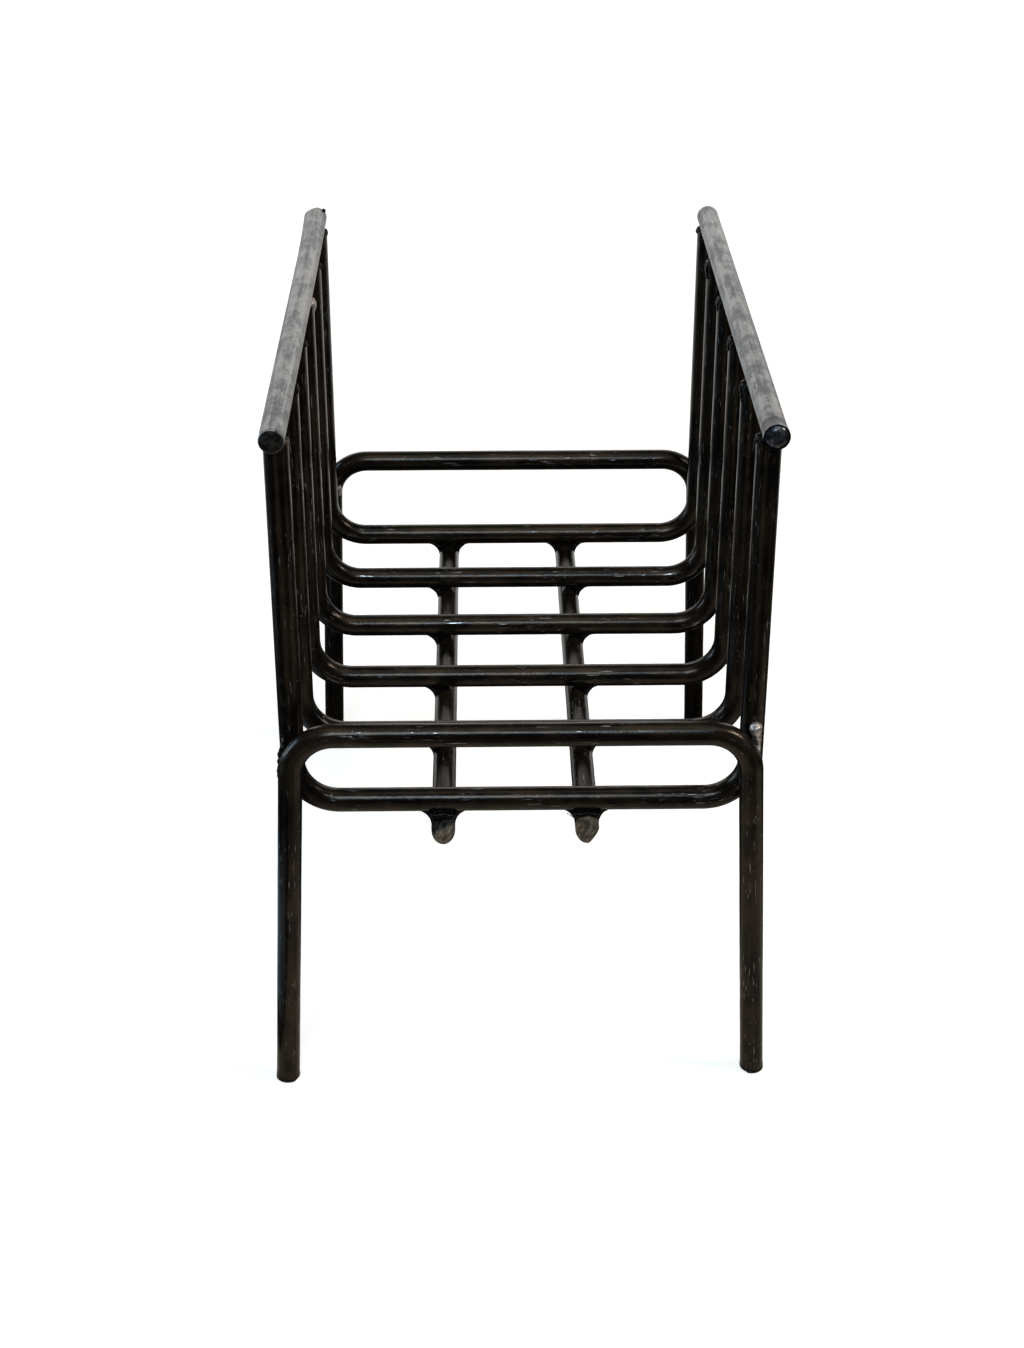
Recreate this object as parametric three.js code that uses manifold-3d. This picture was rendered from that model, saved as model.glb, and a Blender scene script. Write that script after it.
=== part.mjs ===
import * as THREE from 'three';
import { mergeVertices } from 'three/addons/utils/BufferGeometryUtils.js';
import Module from 'manifold-3d';

// Firewood log rack, bent and welded from one size of hot-rolled round bar.
// Sizes are millimetres. X runs across the rack, Y from its front to its back, Z up from the floor.
// A row of U-shaped hoops holds the logs. Each end hoop is welded to a leg frame, an upside-down U
// that stands against it. Two runners tie the hoops together below, and a rail caps them on each side.

// ---- Bar ----
const barDiameter = 12.7;
const barSides = 16; // flats round a bar
const bendSteps = 8; // rings along each bend
const jointGap = 0.3; // left between pieces that touch

// ---- Hoops ----
const hoopCount = 6;
const hoopWidth = 239; // between the centrelines of a hoop's two sides
const hoopBend = 24; // bend radius on the centreline
const hoopFloorHeight = 169.5; // floor to the centreline of a hoop's bottom run
const frontPitch = 70; // first hoop to second
const hoopPitch = 64.2; // every other hoop to the next

// ---- Leg frames ----
const frameInset = 1.4; // each leg's centreline lies this far inside the hoops' side, at the top run
const frameBend = 23; // bend radius on the centreline
const frameRise = 46.5; // centreline of the top run above that of the hoops' bottom run
const frontSplay = 11; // each front foot stands this far outside the top of its leg
const rearSplay = 7.2;
const frontLeftLean = -4.4; // how far each foot stands behind its frame's top run
const frontRightLean = 0;
const rearLean = 9;
const frontShift = -0.7; // each frame was welded on a little off the middle
const rearShift = 1.5;

// ---- Top rails ----
const railRise = 211; // rail centreline above that of the hoops' bottom run
const railFrontOverhang = 17.5; // past the centre of the first hoop
const railRearOverhang = 7.5; // past the centre of the last hoop
const railEdge = 1.2; // chamfer round the left rail's cut ends
const railShearDrop = 4.5; // how much of the left rail's rear outer corner was sheared off
const railShearAngle = THREE.MathUtils.degToRad(36); // how far that cut is from square
const railEndDepth = 4.4; // how far the right rail's rounded ends curve back
const railEndSteps = 4; // rings over each of those ends
const leftRailOutset = 0.5; // each rail's front end lies this far outside its first hoop
const rightRailOutset = 1.5;

// ---- Runners ----
const leftRunnerX = -41.5;
const rightRunnerX = 34.3;
const runnerFrontOverhang = 14; // past the centre of the first hoop
const runnerRearOverhang = 9.5; // past the centre of the last hoop
const runnerShearAngle = THREE.MathUtils.degToRad(35); // lean of the sheared front faces

// ---- Welds ----
const railWeldReach = 1.9; // stands out this far round the top of a hoop
const railWeldHeight = 4.5; // half the height of that bead
const runnerWeldLeg = 6; // along the hoop and down the runner
const runnerWeldLength = 10; // along the runner
// The left ones were run long and low on the shoulder of the frame's bend, the right ones short and high.
const leftFrameWeldAngle = THREE.MathUtils.degToRad(14);
const rightFrameWeldAngle = THREE.MathUtils.degToRad(36);
const leftFrameWeldRadii = new THREE.Vector3(3.2, 6, 12);
const rightFrameWeldRadii = new THREE.Vector3(5.2, 6, 7.4);
const frameWeldShare = 0.4; // how far from the leg frame towards its hoop the bead's middle lies
const beadSides = 12;
const beadRings = 8;

// ---- Places worked out from the sizes ----
const barRadius = barDiameter / 2;
const touching = barDiameter + jointGap; // centreline spacing of two bars that touch
const hoopYs = Array.from({ length: hoopCount }, (_, i) => (i === 0 ? 0 : frontPitch + (i - 1) * hoopPitch));
const rearHoopY = hoopYs[hoopCount - 1];
const railZ = hoopFloorHeight + railRise;
const hoopTopZ = railZ - barRadius - jointGap;
const frameWidth = hoopWidth - 2 * frameInset;
const frameTopZ = hoopFloorHeight + frameRise;
const runnerZ = hoopFloorHeight - touching;

const steel = new THREE.MeshStandardMaterial({ color: 0x2a2826, roughness: 0.5, metalness: 0.85 });
const railSteel = new THREE.MeshStandardMaterial({ color: 0x55565a, roughness: 0.55, metalness: 0.85 });
const weldMetal = new THREE.MeshStandardMaterial({ color: 0x3b3b3d, roughness: 0.4, metalness: 0.9 });

const wasm = await Module();
wasm.setup();

// A closed mesh as a solid that can be joined and cut.
function toSolid(geometry) {
  const bare = geometry.clone();
  bare.deleteAttribute('normal');
  bare.deleteAttribute('uv');
  const merged = mergeVertices(bare);
  return new wasm.Manifold(new wasm.Mesh({
    numProp: 3,
    vertProperties: new Float32Array(merged.attributes.position.array),
    triVerts: new Uint32Array(merged.index.array),
  }));
}

function toGeometry(solid) {
  const mesh = solid.getMesh();
  const geometry = new THREE.BufferGeometry();
  geometry.setAttribute('position', new THREE.BufferAttribute(mesh.vertProperties, 3));
  geometry.setIndex(new THREE.BufferAttribute(mesh.triVerts, 1));
  geometry.computeVertexNormals();
  return geometry;
}

// The centreline of a bent bar as a list of stations, each a point and the way the bar runs there.
// Every station is one ring of the extrusion, so a straight run has rings only at its ends.
class BarLine extends THREE.Curve {
  constructor(stations) {
    super();
    this.stations = stations;
  }

  stationAt(u) {
    return this.stations[Math.round(u * (this.stations.length - 1))];
  }

  getPointAt(u, target = new THREE.Vector3()) {
    return target.copy(this.stationAt(u).point);
  }

  getTangentAt(u, target = new THREE.Vector3()) {
    return target.copy(this.stationAt(u).way);
  }
}

// Rings round one bend, from where the bar leaves the straight to where it meets the next one.
function bendStations(before, corner, after, bend) {
  const wayIn = corner.clone().sub(before).normalize();
  const wayOut = after.clone().sub(corner).normalize();
  const turn = wayIn.angleTo(wayOut);
  const inward = wayOut.clone().addScaledVector(wayIn, -Math.cos(turn)).normalize();
  const start = corner.clone().addScaledVector(wayIn, -bend * Math.tan(turn / 2));
  const centre = start.clone().addScaledVector(inward, bend);
  return Array.from({ length: bendSteps + 1 }, (_, i) => {
    const angle = (turn * i) / bendSteps;
    const point = centre.clone()
      .addScaledVector(inward, -bend * Math.cos(angle))
      .addScaledVector(wayIn, bend * Math.sin(angle));
    const way = wayIn.clone().multiplyScalar(Math.cos(angle)).addScaledVector(inward, Math.sin(angle));
    return { point, way };
  });
}

// A U-shaped bar through four corner points. Both ends are cut level, whichever way the bar leans.
function bentBar(corners, bend, radius) {
  const [start, first, second, end] = corners;
  const stations = [
    { point: start, way: new THREE.Vector3(0, 0, Math.sign(first.z - start.z)) },
    ...bendStations(start, first, second, bend),
    ...bendStations(first, second, end, bend),
    { point: end, way: new THREE.Vector3(0, 0, Math.sign(end.z - second.z)) },
  ];
  const section = new THREE.Shape(Array.from({ length: barSides }, (_, i) => {
    const angle = (2 * Math.PI * i) / barSides;
    return new THREE.Vector2(radius * Math.cos(angle), radius * Math.sin(angle));
  }));
  return new THREE.ExtrudeGeometry(section, {
    steps: stations.length - 1,
    extrudePath: new BarLine(stations),
  });
}

// A hoop in the plane Y = 0. grow makes the slightly larger bar that a weld is fitted round.
function hoopBar(grow = 0) {
  const side = hoopWidth / 2;
  const top = hoopTopZ + grow;
  return bentBar([
    new THREE.Vector3(-side, 0, top),
    new THREE.Vector3(-side, 0, hoopFloorHeight),
    new THREE.Vector3(side, 0, hoopFloorHeight),
    new THREE.Vector3(side, 0, top),
  ], hoopBend, barRadius + grow);
}

// A leg frame with its top run at Y = 0 and its feet on the floor.
function frameBar(splay, leftLean, rightLean, grow = 0) {
  const side = frameWidth / 2;
  return bentBar([
    new THREE.Vector3(-side - splay, leftLean, 0),
    new THREE.Vector3(-side, 0, frameTopZ),
    new THREE.Vector3(side, 0, frameTopZ),
    new THREE.Vector3(side + splay, rightLean, 0),
  ], frameBend, barRadius + grow);
}

// A straight bar along Y, turned from the outline of one half: [radius, place along the bar].
function turnedBar(outline) {
  const points = outline.map(([radius, along]) => new THREE.Vector2(radius, along));
  return new THREE.LatheGeometry(points, barSides);
}

// The left rail, cut square with a small edge chamfer all round, and its rear outer corner sheared off.
function leftRailBar(grow = 0) {
  const radius = barRadius + grow;
  const front = -railFrontOverhang - grow;
  const rear = rearHoopY + railRearOverhang + grow;
  const bar = turnedBar([
    [0, front],
    [radius - railEdge, front],
    [radius, front + railEdge],
    [radius, rear - railEdge],
    [radius - railEdge, rear],
    [0, rear],
  ]);
  const blade = new THREE.BoxGeometry(barDiameter * 2, barDiameter, barDiameter * 2);
  blade.translate(0, barRadius, 0);
  blade.rotateZ(railShearAngle);
  blade.translate(-barRadius, rear - railShearDrop, 0);
  return toGeometry(toSolid(bar).subtract(toSolid(blade)));
}

// The right rail, whose ends melted round when they were welded.
function rightRailBar(grow = 0) {
  const radius = barRadius + grow;
  const front = -railFrontOverhang - grow;
  const rear = rearHoopY + railRearOverhang + grow;
  const dome = (step) => (Math.PI / 2) * (step / railEndSteps);
  const steps = Array.from({ length: railEndSteps + 1 }, (_, i) => i);
  const frontEnd = steps.map((i) => [
    radius * Math.sin(dome(i)),
    front + railEndDepth * (1 - Math.cos(dome(i))),
  ]);
  const rearEnd = steps.map((i) => [
    radius * Math.cos(dome(i)),
    rear - railEndDepth * (1 - Math.sin(dome(i))),
  ]);
  return turnedBar([...frontEnd, ...rearEnd]);
}

// A runner, with its front end sheared to a face that leans back towards the top.
function runnerBar(grow = 0) {
  const radius = barRadius + grow;
  const front = -runnerFrontOverhang - grow;
  const rear = rearHoopY + runnerRearOverhang + grow;
  const bar = turnedBar([[0, front], [radius, front], [radius, rear], [0, rear]]);
  const blade = new THREE.BoxGeometry(barDiameter * 2, barDiameter * 2, barDiameter * 4);
  blade.translate(0, -barDiameter, 0);
  blade.rotateX(-runnerShearAngle);
  blade.translate(0, front, -radius);
  return toGeometry(toSolid(bar).subtract(toSolid(blade)));
}

const rack = new THREE.Group();

// Bars by name, each with the room that it takes up in a weld.
const room = {};

function addBar(name, material, makeGeometry, x, y, z, turn = 0) {
  const mesh = new THREE.Mesh(makeGeometry(0), material);
  mesh.name = name;
  mesh.position.set(x, y, z);
  mesh.rotation.z = turn;
  mesh.updateMatrix();
  rack.add(mesh);
  room[name] = toSolid(makeGeometry(jointGap).applyMatrix4(mesh.matrix));
}

// A weld is a lump of metal cut to sit round the bars that it joins.
function addWeld(name, lump, joined) {
  const bead = joined.reduce((left, bar) => left.subtract(room[bar]), toSolid(lump));
  const mesh = new THREE.Mesh(toGeometry(bead), weldMetal);
  mesh.name = name;
  rack.add(mesh);
}

function roundLump(centre, radii) {
  const lump = new THREE.SphereGeometry(1, beadSides, beadRings);
  lump.rotateX(Math.PI / 2);
  lump.scale(radii.x, radii.y, radii.z);
  lump.translate(centre.x, centre.y, centre.z);
  return lump;
}

// A hollow-faced fillet that fills the corner under a hoop and beside a runner.
function filletLump(runnerX, side, y) {
  const flank = barRadius + jointGap;
  const reach = flank + runnerWeldLeg;
  const under = -flank;
  const foot = under - runnerWeldLeg;
  const outline = new THREE.Shape();
  outline.moveTo(0, 0);
  outline.lineTo(0, foot);
  outline.lineTo(flank, foot);
  outline.absarc(reach, foot, runnerWeldLeg, Math.PI, Math.PI / 2, true);
  outline.lineTo(reach, 0);
  outline.closePath();
  const lump = new THREE.ExtrudeGeometry(outline, {
    depth: runnerWeldLength,
    bevelEnabled: false,
    curveSegments: bendSteps,
  });
  lump.translate(0, 0, -runnerWeldLength / 2);
  lump.rotateX(Math.PI / 2);
  if (side < 0) lump.rotateZ(Math.PI);
  lump.translate(runnerX, y, hoopFloorHeight);
  return lump;
}

// ---- Bars ----
hoopYs.forEach((y, i) => addBar(`hoop_${i + 1}`, steel, hoopBar, 0, y, 0));
const frontFrameY = -touching;
const rearFrameY = rearHoopY + touching;
const frames = [
  {
    name: 'front', hoop: 1, y: frontFrameY, shift: frontShift,
    splay: frontSplay, leftLean: frontLeftLean, rightLean: frontRightLean,
  },
  {
    name: 'rear', hoop: hoopCount, y: rearFrameY, shift: rearShift,
    splay: rearSplay, leftLean: rearLean, rightLean: rearLean,
  },
];
for (const frame of frames) {
  const frameShape = (grow) => frameBar(frame.splay, frame.leftLean, frame.rightLean, grow);
  addBar(`${frame.name}_leg_frame`, steel, frameShape, frame.shift, frame.y, 0);
}
const sides = [
  {
    name: 'left', sign: -1, runnerX: leftRunnerX, railBar: leftRailBar, outset: leftRailOutset,
    frameWeldAngle: leftFrameWeldAngle, frameWeldRadii: leftFrameWeldRadii,
  },
  {
    name: 'right', sign: 1, runnerX: rightRunnerX, railBar: rightRailBar, outset: rightRailOutset,
    frameWeldAngle: rightFrameWeldAngle, frameWeldRadii: rightFrameWeldRadii,
  },
];
for (const side of sides) {
  const railX = side.sign * (hoopWidth / 2 + side.outset);
  const railTurn = side.sign * Math.atan(side.outset / rearHoopY);
  addBar(`${side.name}_top_rail`, railSteel, side.railBar, railX, 0, railZ, railTurn);
  addBar(`${side.name}_runner`, steel, runnerBar, side.runnerX, 0, runnerZ);
}

// ---- Welds ----
const railWeldRadii = new THREE.Vector3(barRadius + railWeldReach, barRadius + railWeldReach, railWeldHeight);
for (const side of sides) {
  hoopYs.forEach((y, i) => {
    const number = i + 1;
    const isEnd = i === 0 || i === hoopCount - 1;
    const top = new THREE.Vector3((side.sign * hoopWidth) / 2, y, hoopTopZ);
    addWeld(`rail_weld_${side.name}_${number}`, roundLump(top, railWeldRadii),
      [`hoop_${number}`, `${side.name}_top_rail`]);
    const joined = [`hoop_${number}`, `${side.name}_runner`];
    addWeld(`runner_weld_${side.name}_${number}`, filletLump(side.runnerX, side.sign, y), joined);
    if (isEnd) {
      addWeld(`runner_weld_${side.name}_${number}_inner`, filletLump(side.runnerX, -side.sign, y), joined);
    }
  });
  for (const frame of frames) {
    const shoulder = frameBend + barRadius;
    const centre = new THREE.Vector3(
      frame.shift + side.sign * (frameWidth / 2 - frameBend + shoulder * Math.cos(side.frameWeldAngle)),
      frame.y + (hoopYs[frame.hoop - 1] - frame.y) * frameWeldShare,
      frameTopZ - frameBend + shoulder * Math.sin(side.frameWeldAngle),
    );
    addWeld(`frame_weld_${frame.name}_${side.name}`, roundLump(centre, side.frameWeldRadii),
      [`hoop_${frame.hoop}`, `${frame.name}_leg_frame`]);
  }
}

// The origin is the middle of the rack's footprint, on the floor.
const box = new THREE.Box3().setFromObject(rack);
rack.position.set(-(box.min.x + box.max.x) / 2, -(box.min.y + box.max.y) / 2, 0);

export default rack;
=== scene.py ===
# %% [markdown]
# # A welded firewood rack
#
# The rack is bent and welded from one size of hot-rolled round bar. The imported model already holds
# every bar and weld at its real size and place, as plain faceted solids. In this lesson each of them
# gets the shape that a maker's hands leave: bars that are round and a little uneven, sawn and sheared
# ends, worn feet, and welds that have flowed. Then come the finishes, the camera and the lights.

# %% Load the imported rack
import math
import random

import bpy
import numpy as np
from mathutils import Euler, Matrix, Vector


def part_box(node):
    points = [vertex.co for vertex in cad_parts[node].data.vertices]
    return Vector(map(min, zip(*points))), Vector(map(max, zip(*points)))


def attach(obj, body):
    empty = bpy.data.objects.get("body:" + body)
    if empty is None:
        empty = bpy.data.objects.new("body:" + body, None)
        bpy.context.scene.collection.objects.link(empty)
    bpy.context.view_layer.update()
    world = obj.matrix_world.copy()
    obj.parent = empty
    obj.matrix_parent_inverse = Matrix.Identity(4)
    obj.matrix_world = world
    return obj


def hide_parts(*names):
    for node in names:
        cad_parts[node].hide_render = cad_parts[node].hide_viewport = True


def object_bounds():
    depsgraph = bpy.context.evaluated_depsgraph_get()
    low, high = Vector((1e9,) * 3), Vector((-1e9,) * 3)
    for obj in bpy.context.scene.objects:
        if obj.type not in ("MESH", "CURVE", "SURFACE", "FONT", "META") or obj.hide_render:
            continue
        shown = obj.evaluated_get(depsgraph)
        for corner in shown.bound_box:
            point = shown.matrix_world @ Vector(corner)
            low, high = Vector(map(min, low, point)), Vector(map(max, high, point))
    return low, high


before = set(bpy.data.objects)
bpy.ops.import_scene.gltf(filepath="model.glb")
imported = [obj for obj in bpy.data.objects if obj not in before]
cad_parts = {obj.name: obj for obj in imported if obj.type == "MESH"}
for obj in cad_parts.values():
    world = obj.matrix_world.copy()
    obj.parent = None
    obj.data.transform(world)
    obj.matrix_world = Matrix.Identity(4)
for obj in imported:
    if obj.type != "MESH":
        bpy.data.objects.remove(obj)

cad_low, cad_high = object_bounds()
print("rack size in mm:", [round(1000 * side, 1) for side in cad_high - cad_low])

# %% [markdown]
# ## Sizes to work from
#
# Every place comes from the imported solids. A runner is a plain straight bar, so the width of its box
# is the diameter of all the bars. The two bend radii and the spread of the legs at the top are the only
# sizes that a box doesn't show.

# %% Bar size and bend radii
MM = 0.001
HAIR = 0.01 * MM  # two places closer than this count as the same
runner_low, runner_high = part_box("left_runner")
BAR = runner_high.x - runner_low.x
RADIUS = BAR / 2
HOOP_BEND = 24 * MM
LEG_BEND = 23 * MM
LEG_SPREAD = 236.2 * MM  # between the leg centrelines, at the level of the top run
HOOPS = sorted(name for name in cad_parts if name.startswith("hoop_"))
WELDS = sorted(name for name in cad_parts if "weld" in name)
dice = random.Random(12)
print("bar diameter", round(BAR / MM, 2), "mm;", len(HOOPS), "hoops;", len(WELDS), "welds")


def middle(node):
    """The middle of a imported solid's box."""
    low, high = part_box(node)
    return (low + high) / 2


# %% [markdown]
# ## Helpers for modelling by hand
#
# Blender's operators act on whatever is selected. So `only` deselects everything and takes one object,
# and `pick` goes into edit mode with just the vertices, edges or faces that pass a test. `cut` is a saw:
# it slices the whole mesh with a plane, throws away the far side and closes the cut with a flat face.

# %% Select one object, or part of one
def only(*objects):
    if bpy.context.mode != "OBJECT":
        bpy.ops.object.mode_set(mode="OBJECT")
    bpy.ops.object.select_all(action="DESELECT")
    for each in objects:
        each.select_set(True)
    bpy.context.view_layer.objects.active = objects[0]


def pick(piece, kind, test):
    only(piece)
    bpy.ops.object.mode_set(mode="EDIT")
    bpy.ops.mesh.select_mode(type=kind)
    bpy.ops.mesh.select_all(action="DESELECT")
    bpy.ops.object.mode_set(mode="OBJECT")
    mesh = piece.data
    parts = {"VERT": mesh.vertices, "EDGE": mesh.edges, "FACE": mesh.polygons}[kind]
    chosen = [bool(test(part)) for part in parts]
    parts.foreach_set("select", chosen)
    bpy.ops.object.mode_set(mode="EDIT")
    return sum(chosen)


def cut(piece, point, normal):
    only(piece)
    bpy.ops.object.mode_set(mode="EDIT")
    bpy.ops.mesh.select_mode(type="VERT")
    bpy.ops.mesh.select_all(action="SELECT")
    bpy.ops.mesh.bisect(plane_co=point, plane_no=normal, use_fill=True, clear_outer=True)
    bpy.ops.object.mode_set(mode="OBJECT")


def settle(piece):
    """Puts an object's place into its mesh, so that the object itself sits at the origin."""
    only(piece)
    bpy.ops.object.transform_apply(location=True, rotation=True, scale=True)


def apply_modifier(piece, modifier):
    only(piece)
    bpy.ops.object.modifier_apply(modifier=modifier.name)


print("helpers ready: only, pick, cut, settle, apply_modifier")

# %% [markdown]
# ## A straight length of bar
#
# Every bar starts straight, standing on end, as it comes from the merchant. It could be a plain
# cylinder, but bending needs rings along its length. Two rounds of subdivide cut the long edges into
# steps of about 2 mm. Before anything is bent, each point's place is written down in an attribute named
# `skin`. The rolled finish follows the bar through every bend because it reads that attribute.

# %% Make straight bars
BAR_SIDES = 48
RING_STEP = 2 * MM
SKIN_STEP = 0.9  # metres between one bar's patch of finish and the next one's
bars_made = 0


def straight_bar(name, length):
    global bars_made
    bpy.ops.mesh.primitive_cylinder_add(
        vertices=BAR_SIDES, radius=RADIUS, depth=length, location=(0, 0, length / 2)
    )
    bar = bpy.context.object
    bar.name = bar.data.name = name
    settle(bar)
    cuts = round(math.sqrt(length / RING_STEP)) - 1
    for longest in (length, length / (cuts + 1)):
        points = bar.data.vertices

        def runs_along(edge):
            ends = [points[i].co.z for i in edge.vertices]
            return abs(ends[0] - ends[1]) > longest * 0.9

        pick(bar, "EDGE", runs_along)
        bpy.ops.mesh.subdivide(number_cuts=cuts)
        bpy.ops.object.mode_set(mode="OBJECT")
    write_skin(bar, bars_made * SKIN_STEP)
    bars_made += 1
    return bar


def write_skin(bar, start):
    skin = bar.data.attributes.get("skin") or bar.data.attributes.new("skin", "FLOAT_VECTOR", "POINT")
    spots = np.empty(len(bar.data.vertices) * 3, np.float32)
    bar.data.vertices.foreach_get("co", spots)
    spots[2::3] += start
    skin.data.foreach_set("vector", spots)


print("a bar has", BAR_SIDES, "sides and a ring every", RING_STEP / MM, "mm")

# %% [markdown]
# ## Shaping the ends
#
# A sawn end has a thin chamfer where the burr was filed off. A foot is rounder, because it has been
# dragged over stone, and slightly swollen by the blows that set it level. `round_rim` bevels the rim of
# one end, and `swell` widens the last rings. The centre for scaling is always given, because without a
# window the operator can't read the pivot setting.

# %% Round and swell an end
def round_rim(bar, on_rim, width, steps):
    """Bevels the edges whose two ends both pass the test."""
    points = bar.data.vertices
    count = pick(bar, "EDGE", lambda e: all(on_rim(points[i].co) for i in e.vertices))
    bpy.ops.mesh.bevel(offset=width, segments=steps, profile=0.5, affect="EDGES")
    bpy.ops.object.mode_set(mode="OBJECT")
    return count


def swell(bar, near_end, centre, factor):
    """Widens the picked vertices round a centre."""
    pick(bar, "VERT", lambda v: near_end(v.co))
    bpy.ops.transform.resize(value=(factor, factor, 1), center_override=centre)
    bpy.ops.object.mode_set(mode="OBJECT")


print("end tools ready: round_rim, swell")

# %% [markdown]
# ## Bending
#
# A smith bends a bar round a former. Here the former is a Bezier path with a true arc at each corner,
# and a Curve modifier lays the straight bar along it. Spinning the end face would do for flat hoops, but
# the legs lean out of their plane, and the path takes that in its stride. An arc of angle `a` and
# radius `r` needs handles of length 4/3 tan(a/4) r.

# %% Bend a bar along its corners
def bend_path(corners, bend):
    """Knots of the path, each a point with its two handles, and the length of the whole path."""
    knots = [(corners[0], corners[0], corners[0])]
    length = 0.0
    here = corners[0]
    for before, corner, after in zip(corners, corners[1:], corners[2:]):
        way_in = (corner - before).normalized()
        way_out = (after - corner).normalized()
        turn = way_in.angle(way_out)
        reach = bend * math.tan(turn / 2)
        handle = bend * 4 / 3 * math.tan(turn / 4)
        start = corner - way_in * reach
        end = corner + way_out * reach
        knots.append((start - way_in * handle, start, start + way_in * handle))
        knots.append((end - way_out * handle, end, end + way_out * handle))
        length += (start - here).length + bend * turn
        here = end
    knots.append((corners[-1], corners[-1], corners[-1]))
    return knots, length + (corners[-1] - here).length


def bent_bar(name, corners, bend):
    knots, length = bend_path(corners, bend)
    bar = straight_bar(name, length)
    curve = bpy.data.curves.new("former", "CURVE")
    curve.dimensions = "3D"
    curve.resolution_u = 64
    spline = curve.splines.new("BEZIER")
    spline.bezier_points.add(len(knots) - 1)
    for knot, (left, point, right) in zip(spline.bezier_points, knots):
        knot.handle_left_type = knot.handle_right_type = "FREE"
        knot.handle_left, knot.co, knot.handle_right = left, point, right
    # On both straight ends the handles lie at thirds, which keeps the bar's rings evenly spaced.
    ends = spline.bezier_points[0], spline.bezier_points[-1]
    ends[0].handle_right = knots[0][1].lerp(knots[1][1], 1 / 3)
    ends[1].handle_left = knots[-1][1].lerp(knots[-2][1], 1 / 3)
    for knot, toward, side in (
        (spline.bezier_points[1], knots[0][1], "handle_left"),
        (spline.bezier_points[-2], knots[-1][1], "handle_right"),
    ):
        setattr(knot, side, knot.co.lerp(toward, 1 / 3))
    former = bpy.data.objects.new("former", curve)
    bpy.context.scene.collection.objects.link(former)
    bend_it = bar.modifiers.new("bend", "CURVE")
    bend_it.object = former
    bend_it.deform_axis = "POS_Z"
    apply_modifier(bar, bend_it)
    bpy.data.objects.remove(former)
    return bar, length


print("bending tools ready: bend_path, bent_bar")

# %% [markdown]
# ## Rolled bar is never quite straight
#
# Hot-rolled bar leaves the mill with shallow waves in its surface, a few hundredths of a millimetre
# high. They are too low to see as a shape, yet they make every highlight wander. A Displace modifier
# with a soft cloud pattern gives them. It reads the place in the mesh, so no two bars get the same waves.

# %% Give a bar its rolling waves
WAVE_HEIGHT = 0.09 * MM
WAVE_LENGTH = 16 * MM
rolling = bpy.data.textures.new("rolling_waves", "CLOUDS")
rolling.noise_scale = WAVE_LENGTH
rolling.noise_depth = 1


def add_waves(bar):
    waves = bar.modifiers.new("waves", "DISPLACE")
    waves.texture = rolling
    waves.texture_coords = "LOCAL"
    waves.mid_level = 0.5
    waves.strength = WAVE_HEIGHT
    apply_modifier(bar, waves)


print("waves:", WAVE_HEIGHT / MM, "mm over", WAVE_LENGTH / MM, "mm")

# %% [markdown]
# ## Where the torch was
#
# Welding heat colours the bar around each weld. The finishes need to know how near a weld is, and a
# shader can't measure that by itself. So each point of a bar keeps a number named `torch_heat`: 1 at a
# weld, falling smoothly to 0 over a given reach. Plain `heat` won't do, because the renderer keeps that
# name for smoke.

# %% Write down the heat
weld_spots = [middle(name) for name in WELDS]


def write_heat(piece, reach, spots=weld_spots):
    places = np.empty(len(piece.data.vertices) * 3, np.float32)
    piece.data.vertices.foreach_get("co", places)
    places = places.reshape(-1, 1, 3)
    nearest = np.linalg.norm(places - np.array(spots, np.float32)[None], axis=2).min(axis=1)
    notes = piece.data.attributes
    heat = notes.get("torch_heat") or notes.new("torch_heat", "FLOAT", "POINT")
    heat.data.foreach_set("value", np.exp(-((nearest / reach) ** 2)).astype(np.float32))


print(len(weld_spots), "spots where the torch was")

# %% [markdown]
# ## Shared surface effects
#
# Each finish is a Principled BSDF with its own colours. What the finishes share is how steel breaks up.
# On rolled steel that is long streaks from the rolls, blotches of thicker and thinner scale, fine grain,
# small pits, and bright scratches that run mostly along the bar. Soot, floor wear, cut faces and frozen
# weld metal have marks of their own. Each of these effects is a node group with named inputs, built once
# here and placed in each material with that material's own values.

# %% A small kit for building node groups
def new_group(name, inputs, outputs):
    """A new group, the sockets that it is given, and the node that takes what it made."""
    group = bpy.data.node_groups.new(name, "ShaderNodeTree")
    kinds = {"F": "NodeSocketFloat", "V": "NodeSocketVector"}
    for label, kind, value in inputs:
        socket = group.interface.new_socket(name=label, in_out="INPUT", socket_type=kinds[kind])
        if value is not None:
            socket.default_value = value
    for label in outputs:
        group.interface.new_socket(name=label, in_out="OUTPUT", socket_type="NodeSocketFloat")
    return group, group.nodes.new("NodeGroupInput").outputs, group.nodes.new("NodeGroupOutput")


def wire_up(tree, made, wires):
    """Joins or sets a node's inputs by name or number."""
    for key, value in wires.items():
        if isinstance(value, bpy.types.NodeSocket):
            tree.links.new(value, made.inputs[key])
        else:
            made.inputs[key].default_value = value
    return made


def node(tree, kind, wires=None, **settings):
    """Adds a node, sets it up, and wires its inputs."""
    made = tree.nodes.new("ShaderNode" + kind)
    for key, value in settings.items():
        setattr(made, key, value)
    return wire_up(tree, made, wires or {})


def noise(tree, vector, scale, detail, rough=0.5, distortion=0.0):
    wires = {
        "Vector": vector, "Scale": scale, "Detail": detail, "Roughness": rough, "Distortion": distortion
    }
    return node(tree, "TexNoise", wires).outputs[0]


def stretched_noise(tree, vector, stretch, detail):
    """Noise read after scaling the vector by (across, across, along)."""
    scaled = node(tree, "Mapping", {"Vector": vector, "Scale": stretch}).outputs[0]
    return noise(tree, scaled, 1.0, detail, 0.55)


def step(tree, value, low, high):
    """0 below low, 1 above high, smooth between."""
    wires = {"Value": value, "From Min": low, "From Max": high}
    return node(tree, "MapRange", wires, interpolation_type="SMOOTHSTEP").outputs[0]


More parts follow.
